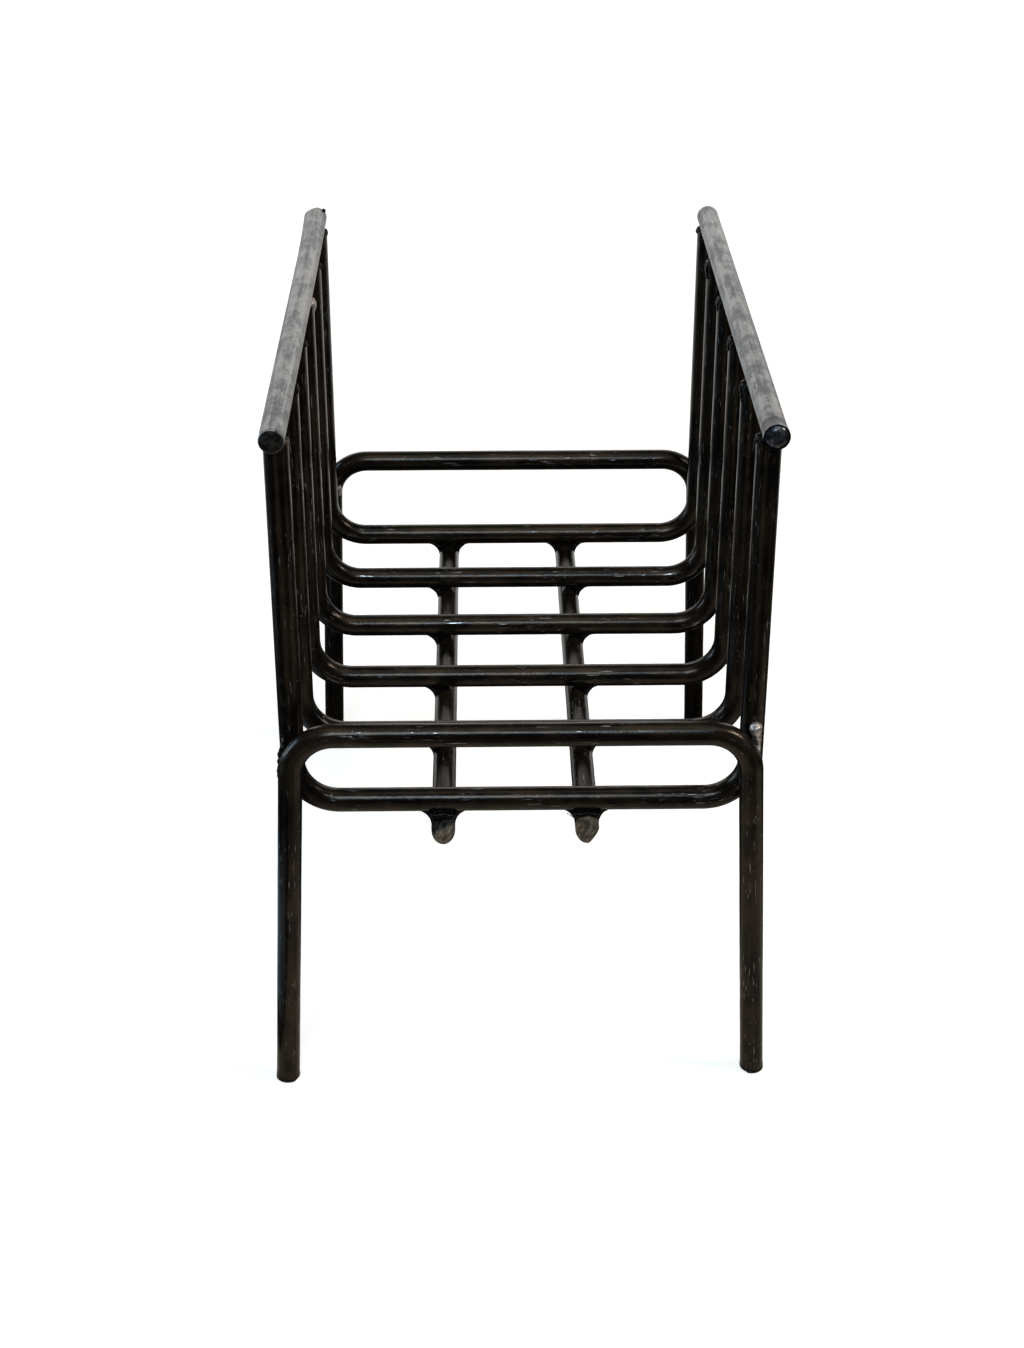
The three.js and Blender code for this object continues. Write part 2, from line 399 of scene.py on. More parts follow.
def blend(tree, share, first, second):
    """A mix of two colours, each of them a socket or three numbers."""
    made = node(tree, "Mix", {"Factor": share}, data_type="RGBA")
    for key, value in ((6, first), (7, second)):
        given_socket = isinstance(value, bpy.types.NodeSocket)
        wire_up(tree, made, {key: value if given_socket else (*value, 1.0)})
    return made.outputs[2]


def sums(tree, how, first, second):
    return node(tree, "Math", {0: first, 1: second}, operation=how).outputs[0]


def away_from_half(tree, value, factor):
    """How far a noise is from its middle value, times a factor."""
    return sums(tree, "MULTIPLY", sums(tree, "SUBTRACT", value, 0.5), factor)


print("node kit ready")

# %% Rolled scale: blotches, streaks, scratches, pits and relief
def make_rolled_scale():
    marks = ("Blotches", "Streaks", "Grain", "Scratches", "Pits", "Relief")
    inputs = [("Skin", "V", None), ("Blotch size", "F", 0.012), ("Scratch amount", "F", 0.5)]
    group, given, made = new_group("rolled_scale", inputs, marks)
    skin = given["Skin"]
    blotch_scale = sums(group, "DIVIDE", 1.0, given["Blotch size"])
    drawn_out = node(group, "Mapping", {"Vector": skin, "Scale": (1.0, 1.0, 0.5)}).outputs[0]
    blotches = noise(group, drawn_out, blotch_scale, 6.0, 0.66)
    streaks = stretched_noise(group, skin, (520, 520, 16), 3.0)
    lines = stretched_noise(group, skin, (1500, 1500, 95), 2.0)
    slanted = node(group, "Mapping", {"Vector": skin, "Rotation": (0.5, 0.35, 0.0)}).outputs[0]
    ticks = stretched_noise(group, slanted, (1300, 1300, 210), 2.0)
    patches = stretched_noise(group, skin, (70, 70, 38), 3.0)
    more_is_lower = {"Value": given["Scratch amount"], "To Min": 0.80, "To Max": 0.60}
    threshold = node(group, "MapRange", more_is_lower).outputs[0]
    above = sums(group, "ADD", threshold, 0.06)
    line_mask = step(group, lines, threshold, above)
    tick_mask = step(group, ticks, above, sums(group, "ADD", above, 0.05))
    both = sums(group, "MAXIMUM", line_mask, tick_mask)
    scratches = sums(group, "MULTIPLY", both, step(group, patches, 0.44, 0.60))
    grain = noise(group, skin, 2100.0, 3.0, 0.6)
    dimples = noise(group, skin, 620.0, 3.0, 0.6)
    pits = step(group, dimples, 0.655, 0.72)
    relief = sums(group, "MULTIPLY", scratches, -0.35)
    for mark, height in ((grain, 0.35), (blotches, 0.9), (streaks, 0.55), (dimples, 1.1)):
        relief = sums(group, "ADD", relief, sums(group, "MULTIPLY", mark, height))
    found = (blotches, streaks, grain, scratches, pits, relief)
    wire_up(group, made, dict(zip(marks, found)))
    return group


rolled_scale = make_rolled_scale()
print("group:", rolled_scale.name)

# %% [markdown]
# ## Soot round the welds
#
# Next to a weld the scale is baked darker, with a ragged edge, and a faint brown tint lies just outside
# it. The group takes the `torch_heat` number, roughens its edge with noise, and gives back a soot mask
# and a tint mask.

# %% Heat marks
def make_heat_marks():
    inputs = [("Heat", "F", 0.0), ("Place", "V", None), ("Spread", "F", 0.5)]
    group, given, made = new_group("heat_marks", inputs, ("Soot", "Tint"))
    ragged = noise(group, given["Place"], 160.0, 4.0)
    shaken = sums(group, "ADD", given["Heat"], away_from_half(group, ragged, 0.7))
    soot = step(group, shaken, given["Spread"], sums(group, "ADD", given["Spread"], 0.35))
    rising = step(group, shaken, 0.10, 0.40)
    falling = step(group, shaken, 0.42, 0.75)
    tint = sums(group, "MULTIPLY", rising, sums(group, "SUBTRACT", 1.0, falling))
    wire_up(group, made, {"Soot": soot, "Tint": tint})
    return group


heat_marks = make_heat_marks()
print("group:", heat_marks.name)

# %% [markdown]
# ## Wear at floor level
#
# The feet are rubbed down to bare grey metal over about the last two millimetres, with an uneven upper
# edge.
# The group reads height above the floor from Object coordinates. On a piece that doesn't reach the
# floor it gives nothing, so every bar can share it.

# %% Floor wear
def make_floor_wear():
    inputs = [("Place", "V", None), ("Height", "F", 2 * MM)]
    group, given, made = new_group("floor_wear", inputs, ("Bare",))
    height = node(group, "SeparateXYZ", {0: given["Place"]}).outputs[2]
    jagged = noise(group, given["Place"], 900.0, 3.0)
    edge = sums(group, "ADD", given["Height"], away_from_half(group, jagged, 3.2 * MM))
    below_edge = sums(group, "DIVIDE", sums(group, "SUBTRACT", edge, height), 0.6 * MM)
    wire_up(group, made, {"Bare": node(group, "Clamp", {0: below_edge}).outputs[0]})
    return group


floor_wear = make_floor_wear()
print("group:", floor_wear.name)

# %% [markdown]
# ## Cut faces and frozen metal
#
# Shears and saws drag slanted lines across a face, and the bare steel then stains in spots. Weld metal
# freezes with a fine ripple, and its slag flakes off in chips, which leaves shallow steps. Both could be
# drawn into each material again, but as groups they stay alike wherever they are used.

# %% Marks on cut faces and on weld metal
def make_cut_marks():
    marks = ("Bright", "Stained", "Roughness", "Relief")
    group, given, made = new_group("cut_marks", [("Place", "V", None)], marks)
    turned = {"Vector": given["Place"], "Rotation": (0.0, 0.9, 0.0)}
    drag = stretched_noise(group, node(group, "Mapping", turned).outputs[0], (240, 420, 760), 4.0)
    stain = noise(group, given["Place"], 260.0, 4.0)
    rough = sums(group, "ADD", 0.38, sums(group, "MULTIPLY", stain, 0.25))
    found = (step(group, drag, 0.35, 0.65), step(group, stain, 0.52, 0.66), rough, drag)
    wire_up(group, made, dict(zip(marks, found)))
    return group


def make_frozen_metal():
    marks = ("Flakes", "Roughness", "Relief")
    inputs = [("Place", "V", None), ("Flaked", "F", 0.5), ("Shine", "F", 0.25)]
    group, given, made = new_group("frozen_metal", inputs, marks)
    chips = noise(group, given["Place"], 330.0, 4.0, 0.6)
    ripple = noise(group, given["Place"], 900.0, 3.0, distortion=0.6)
    threshold = sums(group, "SUBTRACT", 1.0, given["Flaked"])
    flakes = step(group, chips, threshold, sums(group, "ADD", threshold, 0.06))
    rough = sums(group, "ADD", given["Shine"], sums(group, "MULTIPLY", ripple, 0.18))
    relief = sums(group, "ADD", ripple, sums(group, "MULTIPLY", flakes, -0.4))
    wire_up(group, made, dict(zip(marks, (flakes, rough, relief))))
    return group


cut_marks = make_cut_marks()
frozen_metal = make_frozen_metal()
print("groups:", cut_marks.name, frozen_metal.name)

# %% [markdown]
# ## The steel finishes
#
# Mill scale is a thin hard oxide: nearly black, a little brown, with a satin shine. The top rails get a
# lighter, greyer copy of it. One function makes both, and takes the colours, the shine and the amount of
# scratching. A light scratch is bare steel, so it lifts the colour and lowers the roughness.

# %% Scaled steel for bars and rails
MOTTLE_MIDDLE = 0.775  # what blotches and drawn streaks usually add up to
MOTTLE_WIDTH = 0.30  # the narrower the step from dark to light, the harder the mottling
WEAR_HEIGHT = 1.6 * MM
WORN_STEEL = (0.26, 0.255, 0.245)
HEAT_TINT = (0.070, 0.050, 0.035)


def place_group(tree, group, wires):
    return node(tree, "Group", wires, node_tree=group).outputs


def new_material(name, metallic):
    material = bpy.data.materials.new(name)
    material.use_nodes = True
    shader = material.node_tree.nodes["Principled BSDF"]
    shader.inputs["Metallic"].default_value = metallic
    return material, material.node_tree, shader


def coat(tree, shader, color, rough, relief, strength, depth):
    """Wires a finish's colour, roughness and relief to its shader."""
    bump = node(tree, "Bump", {"Height": relief, "Strength": strength, "Distance": depth}).outputs[0]
    wire_up(tree, shader, {"Base Color": color, "Roughness": rough, "Normal": bump})


def scaled_steel(
    name, dark, light, soot_color, scratch_color, metallic, shine, scratch, blotch, soot_spread, grain
):
    material, tree, shader = new_material(name, metallic)
    skin = node(tree, "Attribute", attribute_name="skin").outputs["Vector"]
    heat = node(tree, "Attribute", attribute_name="torch_heat").outputs["Fac"]
    place = node(tree, "TexCoord").outputs["Object"]
    rolled_wires = {"Skin": skin, "Blotch size": blotch, "Scratch amount": scratch}
    rolled = place_group(tree, rolled_scale, rolled_wires)
    marks = place_group(tree, heat_marks, {"Heat": heat, "Place": place, "Spread": soot_spread})
    wear = place_group(tree, floor_wear, {"Place": place, "Height": WEAR_HEIGHT})
    mottle = sums(tree, "ADD", rolled["Blotches"], sums(tree, "MULTIPLY", rolled["Streaks"], 0.55))
    patchy = step(tree, mottle, MOTTLE_MIDDLE - MOTTLE_WIDTH / 2, MOTTLE_MIDDLE + MOTTLE_WIDTH / 2)
    speckle = away_from_half(tree, rolled["Grain"], grain)
    color = blend(tree, sums(tree, "ADD", patchy, speckle), dark, light)
    for mask, share, over in (
        (rolled["Pits"], 1.0, soot_color),
        (marks["Tint"], 0.25, HEAT_TINT),
        (marks["Soot"], 0.85, soot_color),
        (rolled["Scratches"], 1.0, scratch_color),
        (wear["Bare"], 1.0, WORN_STEEL),
    ):
        color = blend(tree, sums(tree, "MULTIPLY", mask, share), color, over)
    rough = sums(tree, "ADD", shine, away_from_half(tree, rolled["Streaks"], 0.22))
    rough = sums(tree, "ADD", rough, away_from_half(tree, rolled["Blotches"], 0.25))
    rough = sums(tree, "ADD", rough, sums(tree, "MULTIPLY", rolled["Scratches"], -0.10))
    coat(tree, shader, color, rough, rolled["Relief"], 0.7, 0.11 * MM)
    return material


black_scale = scaled_steel(
    "black_mill_scale", dark=(0.008, 0.0062, 0.005), light=(0.038, 0.0265, 0.017),
    soot_color=(0.004, 0.0035, 0.0035), scratch_color=(0.40, 0.41, 0.42),
    metallic=0.65, shine=0.22, scratch=0.75, blotch=10 * MM, soot_spread=0.40, grain=0.5,
)
grey_scale = scaled_steel(
    "rail_grey_scale", dark=(0.072, 0.077, 0.092), light=(0.44, 0.43, 0.42),
    soot_color=(0.035, 0.033, 0.033), scratch_color=(0.60, 0.60, 0.60),
    metallic=0.75, shine=0.40, scratch=0.62, blotch=9 * MM, soot_spread=0.60, grain=2.4,
)
print("finishes:", black_scale.name, grey_scale.name)

# %% [markdown]
# ## Bare cut faces and weld metal
#
# The runners were sheared and never painted, so their ends show brownish bare steel, and the left rail's
# sawn end is the same under soot. That sooty finish is also laid on the facets of the runners' second bites
# as painted shade. Weld metal has cooled from liquid: it is smoother and shinier than the bar, nearly black
# where its own slag is left and bright where the slag has flaked off. One function makes all four weld
# finishes from their colours, shine and flaked share: the usual dark bead, one that was wiped to brown, the
# bright ones, and the smooth blued metal of the right rail's ball.

# %% Cut steel and weld metal
def cut_steel(name, dark, light):
    material, tree, shader = new_material(name, 0.75)
    marks = place_group(tree, cut_marks, {"Place": node(tree, "TexCoord").outputs["Object"]})
    color = blend(tree, marks["Bright"], dark, light)
    color = blend(tree, marks["Stained"], color, dark)
    coat(tree, shader, color, marks["Roughness"], marks["Relief"], 0.6, 0.15 * MM)
    return material


def weld_metal(name, slag, bright, flaked, shine, ridges=0.25 * MM):
    material, tree, shader = new_material(name, 0.8)
    place = node(tree, "TexCoord").outputs["Object"]
    metal = place_group(tree, frozen_metal, {"Place": place, "Flaked": flaked, "Shine": shine})
    color = blend(tree, metal["Flakes"], slag, bright)
    coat(tree, shader, color, metal["Roughness"], metal["Relief"], 0.7, ridges)
    return material


sheared_face = cut_steel("sheared_face", (0.038, 0.027, 0.017), (0.135, 0.094, 0.060))
# A darker cut face: soot on the left rail's sawn end, and painted shade on the facets of the runners' second
# bites.
soot_and_shade_face = cut_steel("soot_and_painted_shade_face", (0.012, 0.011, 0.010), (0.085, 0.078, 0.070))
dark_weld = weld_metal(
    "slag_dark_weld", slag=(0.009, 0.0085, 0.0085), bright=(0.15, 0.15, 0.15), flaked=0.34, shine=0.22
)
brown_weld = weld_metal(
    "wiped_brown_weld", slag=(0.05, 0.041, 0.032), bright=(0.19, 0.16, 0.125), flaked=0.52, shine=0.30
)
bright_weld = weld_metal(
    "flaked_bright_weld", slag=(0.09, 0.08, 0.075), bright=(0.66, 0.59, 0.56), flaked=0.70, shine=0.26
)
blued_ball = weld_metal(
    "blued_ball", slag=(0.045, 0.050, 0.060), bright=(0.13, 0.145, 0.17), flaked=0.50, shine=0.13,
    ridges=0.04 * MM,
)
for finish in (sheared_face, soot_and_shade_face, dark_weld, brown_weld, bright_weld, blued_ball):
    print("finish:", finish.name)

# %% [markdown]
# ## Finishing a piece
#
# Whatever its shape, a piece ends the same way: its material if it has none yet, smooth shading that keeps
# sharp cut edges sharp, the body that it rides on, and the imported solid that it stands for, which is
# hidden.

# %% Finish, ride and replace
SHARP = math.radians(38)


def give(piece, *materials):
    for material in materials:
        piece.data.materials.append(material)


def finish_piece(piece, stands_for, material):
    if not piece.data.materials:
        give(piece, material)
    only(piece)
    bpy.ops.object.shade_smooth_by_angle(angle=SHARP)
    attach(piece, "root")
    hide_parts(stands_for)
    return len(piece.data.polygons)


def face_outwards(piece):
    pick(piece, "FACE", lambda f: True)
    bpy.ops.mesh.normals_make_consistent(inside=False)
    bpy.ops.object.mode_set(mode="OBJECT")


print("finishing tools ready: give, finish_piece, face_outwards")

# %% [markdown]
# ## The hoops
#
# A hoop is a U of bar. It is bent once, at the place of the first hoop, and copied along the rack. Each
# copy then gets its own stretch of finish, its own waves and its own heat marks, because real hoops are
# alike in shape and never in skin.

# %% Bend one hoop and copy it
BURR = 0.5 * MM
BAR_HEAT = 10 * MM


def make_hoops():
    low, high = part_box(HOOPS[0])
    left, right = low.x + RADIUS, high.x - RADIUS
    y = (low.y + high.y) / 2
    floor_line = low.z + RADIUS
    corners = [Vector(p) for p in (
        (left, y, high.z), (left, y, floor_line), (right, y, floor_line), (right, y, high.z)
    )]
    first, length = bent_bar("hoop_pattern", corners, HOOP_BEND)
    face_outwards(first)
    round_rim(first, lambda p: p.z > high.z - 0.05 * MM, BURR, 2)
    for number, name in enumerate(HOOPS):
        hoop = first.copy()
        hoop.data = first.data.copy()
        hoop.name = hoop.data.name = name + "_bar"
        bpy.context.scene.collection.objects.link(hoop)
        hoop.location = (0, middle(name).y - y, 0)
        settle(hoop)
        shift_skin(hoop, number * SKIN_STEP)
        add_waves(hoop)
        write_heat(hoop, BAR_HEAT)
        finish_piece(hoop, name, black_scale)
    bpy.data.objects.remove(first)
    return length


def shift_skin(bar, start):
    skin = bar.data.attributes["skin"]
    spots = np.empty(len(bar.data.vertices) * 3, np.float32)
    skin.data.foreach_get("vector", spots)
    spots[2::3] += start
    skin.data.foreach_set("vector", spots)


hoop_length = make_hoops()
bars_made += len(HOOPS)
print(len(HOOPS), "hoops, each from", round(hoop_length / MM), "mm of bar")

# %% [markdown]
# ## The leg frames
#
# A leg frame is an upside-down U whose legs splay and lean. The bar is cut a little long and sawn level
# at the floor after bending, the way a maker levels a stand. The rims of the feet are then rounded and
# swollen.

# %% Bend the leg frames and level their feet
SPARE = 6 * MM  # left below the floor for the level cut
FOOT_ROUND = 1.5 * MM
FOOT_SWELL = 1.035
FOOT_SWELL_HEIGHT = 3.2 * MM


def foot_centre(name, side):
    """The middle of one foot's sole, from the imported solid."""
    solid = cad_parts[name].data.vertices
    sole = [v.co for v in solid if v.co.z < HAIR and v.co.x * side > 0]
    xs, ys = [p.x for p in sole], [p.y for p in sole]
    return Vector(((min(xs) + max(xs)) / 2, (min(ys) + max(ys)) / 2, 0))


def top_run_y(name):
    low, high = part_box(name)
    top = [v.co.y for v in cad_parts[name].data.vertices if v.co.z > high.z - RADIUS / 4]
    return (min(top) + max(top)) / 2


def make_leg_frame(name):
    feet = [foot_centre(name, side) for side in (-1, 1)]
    centre_x = (feet[0].x + feet[1].x) / 2
    y, z = top_run_y(name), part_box(name)[1].z - RADIUS
    tops = [Vector((centre_x + side * LEG_SPREAD / 2, y, z)) for side in (-1, 1)]
    ends = [foot + (foot - top).normalized() * SPARE for foot, top in zip(feet, tops)]
    bar, length = bent_bar(name + "_bar", [ends[0], tops[0], tops[1], ends[1]], LEG_BEND)
    face_outwards(bar)
    cut(bar, (0, 0, 0), (0, 0, -1))
    for foot in feet:
        swell(bar, lambda p: p.z < FOOT_SWELL_HEIGHT and abs(p.x - foot.x) < BAR, foot, FOOT_SWELL)
    round_rim(bar, lambda p: p.z < HAIR, FOOT_ROUND, 4)
    add_waves(bar)
    cut(bar, (0, 0, 2 * HAIR), (0, 0, -1))  # the waves moved the soles, so they are levelled again
    write_heat(bar, BAR_HEAT)
    faces = finish_piece(bar, name, black_scale)
    print(name, "from", round(length / MM), "mm of bar,", faces, "faces")


for name in ("front_leg_frame", "rear_leg_frame"):
    make_leg_frame(name)

# %% [markdown]
# ## How a weld is modelled
#
# A weld is a row of small puddles that froze one over the other. Each puddle is a squashed sphere set down
# one by one, and together they overlap. A voxel Remesh melts them into one closed skin, Smooth lets the skin
# flow, and a low Displace leaves the uneven surface. Balls of spatter are added after that, because the
# remesh would swallow them.

# %% Puddles, melting and spatter
VOXEL = 0.42 * MM
puddle_grain = bpy.data.textures.new("puddle_grain", "CLOUDS")
puddle_grain.noise_scale = 2.4 * MM
puddle_grain.noise_depth = 2


def puddle(centre, radii):
    bpy.ops.mesh.primitive_ico_sphere_add(subdivisions=3, radius=1, location=centre, scale=radii)
    return bpy.context.object


def join_all(pieces):
    only(*pieces)
    if len(pieces) > 1:
        bpy.ops.object.join()
    joined = bpy.context.object
    settle(joined)
    return joined


def melt(name, lumps, flow=4, rough=0.5 * MM):
    bead = join_all(lumps)
    bead.name = bead.data.name = name
    remesh = bead.modifiers.new("melt", "REMESH")
    remesh.mode = "VOXEL"
    remesh.voxel_size = VOXEL
    apply_modifier(bead, remesh)
    smooth = bead.modifiers.new("flow", "SMOOTH")
    smooth.factor = 0.6
    smooth.iterations = flow
    apply_modifier(bead, smooth)
    grain = bead.modifiers.new("grain", "DISPLACE")
    grain.texture = puddle_grain
    grain.texture_coords = "LOCAL"
    grain.mid_level = 0.5
    grain.strength = rough
    apply_modifier(bead, grain)
    return bead


def spatter(places):
    """Tiny balls of metal frozen onto the bar."""
    balls = []
    for place in places:
        size = dice.uniform(0.18, 0.42) * MM
        bpy.ops.mesh.primitive_ico_sphere_add(subdivisions=2, radius=size, location=place)
        balls.append(bpy.context.object)
    return balls


print("weld tools ready; voxel", VOXEL / MM, "mm")

# %% [markdown]
# ## Straight bars with sheared or melted ends
#
# Rails and runners stay straight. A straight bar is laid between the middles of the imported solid's two
# ends, which keeps the slight skew that each rail has. Its ends are shaped with the same tools.

# %% Lay a straight bar
def end_middle(name, front):
    low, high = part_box(name)
    edge = low.y if front else high.y
    ring = [v.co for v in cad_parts[name].data.vertices if abs(v.co.y - edge) < BAR]
    xs = [p.x for p in ring]
    return Vector(((min(xs) + max(xs)) / 2, edge, (low.z + high.z) / 2))


def lay_bar(name):
    """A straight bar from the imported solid's front end to its rear one, and those two points."""
    front, rear = end_middle(name, True), end_middle(name, False)
    bar = straight_bar(name + "_bar", (rear - front).length)
    return bar, front, rear


def turn_into_place(bar, front, rear):
    bar.rotation_mode = "QUATERNION"
    bar.rotation_quaternion = (rear - front).to_track_quat("Z", "Y")
    bar.location = front
    settle(bar)


print("straight bars run between the ends of the packed ones")

# %% [markdown]
# ## The top rails
#
# The left rail was sawn square at the front. At the rear it was nipped off from both sides with shears,
# which left a ridge a little to the right of its middle, and hammering flattened its last quarter and
# knocked it slightly outwards. The right rail's ends melted into domes when they were welded, and the
# front one swelled into a dark, shiny ball with soot round its neck. A wide bevel of the rim with many
# steps makes a dome.

# %% Make both rails
RAIL_HEAT = 8 * MM
RAIL_CHAMFER = 1.0 * MM
DOME = 5.0 * MM
BALL_LENGTH = 8 * MM
RIDGE = 2 * MM  # the ridge between the two nips lies this far to the right of the middle
LEFT_NIP = (-0.465, 0.534, 0.705)  # the way that each nipped face looks
RIGHT_NIP = (0.615, 0.477, 0.629)
SOOT_RINGS = (0.7, 1.25)  # how far from the front end, in lengths of the ball
KNOCK = 0.8 * MM
KNOCK_LENGTH = 90 * MM
FLATTENED = 1.08


def knock_sideways(bar, rear):
    """Flattens the last part of a rail and bends it outwards, more and more towards its end."""
    for vertex in bar.data.vertices:
        share = max(0.0, 1 - (rear.y - vertex.co.y) / KNOCK_LENGTH)
        from_axis = vertex.co.x - rear.x
        vertex.co.x += from_axis * (FLATTENED - 1) * share ** 2 - KNOCK * share ** 2


def make_left_rail():
    name = "left_top_rail"
    bar, front, rear = lay_bar(name)
    length = (rear - front).length
    round_rim(bar, lambda p: p.z < HAIR or p.z > length - HAIR, RAIL_CHAMFER, 3)
    turn_into_place(bar, front, rear)
    ridge = rear + Vector((RIDGE, 0, math.sqrt(RADIUS ** 2 - RIDGE ** 2)))
    cut(bar, ridge, LEFT_NIP)
    cut(bar, ridge, RIGHT_NIP)
    knock_sideways(bar, rear)
    add_waves(bar)
    drop_place = rear + Vector((5.2 * MM - KNOCK, -1.5 * MM, 4.2 * MM))
    write_heat(bar, RAIL_HEAT, weld_spots + [drop_place])
    give(bar, grey_scale, soot_and_shade_face, dark_weld)
    for face in bar.data.polygons:
        if face.normal.y < -0.9:
            face.material_index = 1
    drop = puddle(drop_place, (1.3 * MM, 1.8 * MM, 1.4 * MM))
    give(drop, dark_weld)
    bar = join_all([bar, drop])
    return finish_piece(bar, name, grey_scale)


def make_right_rail():
    name = "right_top_rail"
    bar, front, rear = lay_bar(name)
    length = (rear - front).length
    swell(bar, lambda p: p.z < BALL_LENGTH, (0, 0, BALL_LENGTH / 2), 1.045)
    round_rim(bar, lambda p: p.z < HAIR or p.z > length - HAIR, DOME, 9)
    turn_into_place(bar, front, rear)
    add_waves(bar)
    round_the_neck = []
    for how_far in SOOT_RINGS:
        neck = front + (rear - front).normalized() * BALL_LENGTH * how_far
        for i in range(12):
            angle = i * math.pi / 6
            round_the_neck.append(neck + Vector((math.cos(angle), 0, math.sin(angle))) * RADIUS)
    write_heat(bar, RAIL_HEAT, weld_spots + round_the_neck)
    give(bar, grey_scale, blued_ball)
    for face in bar.data.polygons:
        if face.center.y < front.y + 0.62 * BALL_LENGTH:
            face.material_index = 1
    return finish_piece(bar, name, grey_scale)


print("left rail", make_left_rail(), "faces; right rail", make_right_rail(), "faces")

# %% [markdown]
# ## The runners
#
# Each runner's front end was sheared at a slant, so it shows a bare oval face. On the left one the shears
# bit twice: a second facet lies above a diagonal across the first. On the right one a small bite took off
# the lower right edge. The bare facet is found by its normal and given the cut steel finish, and the facet
# of each second bite is painted dark with the sooty finish, as painted shade.

# %% Make both runners
RUNNER_SHEAR = math.radians(35)
SHEAR_FACE = Vector((0, -math.cos(RUNNER_SHEAR), math.sin(RUNNER_SHEAR)))
EXTRA_BITE = {  # the way that the second bite looks, and how far it lies from the middle of the first
    "left_runner": (Vector((-0.205, -0.530, 0.823)), 0.0),
    "right_runner": (Vector((0.80, -0.52, -0.30)), 4.9 * MM),
}


def make_runner(name):
    bar, front, rear = lay_bar(name)
    length = (rear - front).length
    round_rim(bar, lambda p: p.z > length - HAIR, BURR, 2)
    turn_into_place(bar, front, rear)
    cut(bar, Vector((front.x, front.y, front.z - RADIUS)), SHEAR_FACE)
    face_middle = Vector((front.x, front.y + RADIUS * math.tan(RUNNER_SHEAR), front.z))
    bite, depth = EXTRA_BITE[name]
    cut(bar, face_middle + bite.normalized() * depth, bite)
    add_waves(bar)
    write_heat(bar, BAR_HEAT)
    give(bar, black_scale, sheared_face, soot_and_shade_face)
    for face in bar.data.polygons:
        if face.center.y < front.y + BAR and face.normal.y < -0.35:
            # the main shear face gets bare cut steel; the second bite's facet gets the dark sooty finish as
            # painted shade
            face.material_index = 1 if face.normal.dot(SHEAR_FACE) > 0.98 else 2
    return finish_piece(bar, name, black_scale)


for name in ("left_runner", "right_runner"):
    print(name, make_runner(name), "faces")

# %% [markdown]
# ## Rail welds
#
# The square-cut top of a hoop's side meets the round underside of a rail. The bead runs round that
# meeting like a thin collar, flatter on the left rail than on the right one, and on two hoops it is
# fatter. On some hoops it ran down the inner side as a drip, so each side has its own list of drip
# lengths from front to rear. The first bead on the left was wiped to brown, and the fourth has flaked
# bright.

# %% Run a bead round the top of each hoop's side
DRIP = {"left": (1.0, 2.5, 0.5, 4.0, 1.0, 1.5), "right": (1.0, 9.0, 4.0, 4.5, 7.0, 1.0)}
PUDDLE_STEP = math.radians(24)
BEAD_SIZE = {"left": 0.62, "right": 0.85}
FAT_BEADS = (("left", 4), ("right", 5))
FAT_BEAD_SIZE = 1.15
RAIL_WELD_FINISH = {"rail_weld_left_1": brown_weld, "rail_weld_left_4": bright_weld}


def rail_weld(side, sign, number):
    hoop_low, hoop_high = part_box(f"hoop_{number}")
    x = hoop_low.x + RADIUS if sign < 0 else hoop_high.x - RADIUS
    top = Vector((x, middle(f"hoop_{number}").y, hoop_high.z))
    size = FAT_BEAD_SIZE if (side, number) in FAT_BEADS else BEAD_SIZE[side]
    lumps = []
    for i in range(15):
        angle = i * PUDDLE_STEP
        inner = (1 + math.cos(angle)) / 2
        fat = (1.2 + 0.5 * inner) * size * dice.uniform(0.85, 1.15) * MM
        out = RADIUS - 0.55 * fat
        drop = (-0.9 + 0.9 * inner) * MM
        spot = top + Vector((-sign * out * math.cos(angle), out * math.sin(angle), drop))
        lumps.append(puddle(spot, (fat, fat, fat * dice.uniform(0.9, 1.4))))
    drip = DRIP[side][number - 1] * MM
    lean = dice.uniform(-0.5, 0.1)
    for i in range(5):
        share = i / 4
        fat = (1.75 - 0.75 * share) * size * dice.uniform(0.9, 1.1) * MM
        angle = lean * (0.3 + share)
        out = RADIUS - 0.25 * fat
        fall = -0.8 * MM - drip * share
        spot = top + Vector((-sign * out * math.cos(angle), out * math.sin(angle), fall))
        lumps.append(puddle(spot, (fat, fat, fat * 1.3)))
    bead = melt(f"rail_weld_{side}_{number}_bead", lumps, flow=3)
    marks = []
    for _ in range(2):
        angle = dice.uniform(-0.9, 0.9)
        fall = dice.uniform(10, 60) * MM
        marks.append(top + Vector((-sign * RADIUS * math.cos(angle), RADIUS * math.sin(angle), -fall)))
    return join_all([bead, *spatter(marks)])


def finish_weld(bead, node_name, material):
    bead.name = bead.data.name = node_name + "_bead"
    return finish_piece(bead, node_name, material)


weld_faces = 0
for side, sign in (("left", -1), ("right", 1)):
    for number in range(1, len(HOOPS) + 1):
        node_name = f"rail_weld_{side}_{number}"
        bead = rail_weld(side, sign, number)
        weld_faces += finish_weld(bead, node_name, RAIL_WELD_FINISH.get(node_name, dark_weld))
print("12 rail welds,", weld_faces, "faces")

# %% [markdown]
# ## Runner welds
#
# Under a hoop the weld metal sagged into a smooth hollow fillet. A row of puddles would bulge, so this
# one starts as a block in the corner, and a cylinder is taken out of it for the hollow face. At the
# first hoop the metal also ran forwards, over the top of the runner's sheared end, and left a few shiny
# balls of spatter beside it.

# %% Hollow fillets under the hoops
FILLET_LEG = 6.6 * MM
FILLET_DROP = 7.6 * MM
FILLET_LENGTH = 12 * MM
FILLET_EDGE = 0.3 * MM  # metal left where the hollow runs out under the hoop
FAR_END, ROOF_END = 0.34, 0.5  # what is left of the fillet's length at its far end and at its top


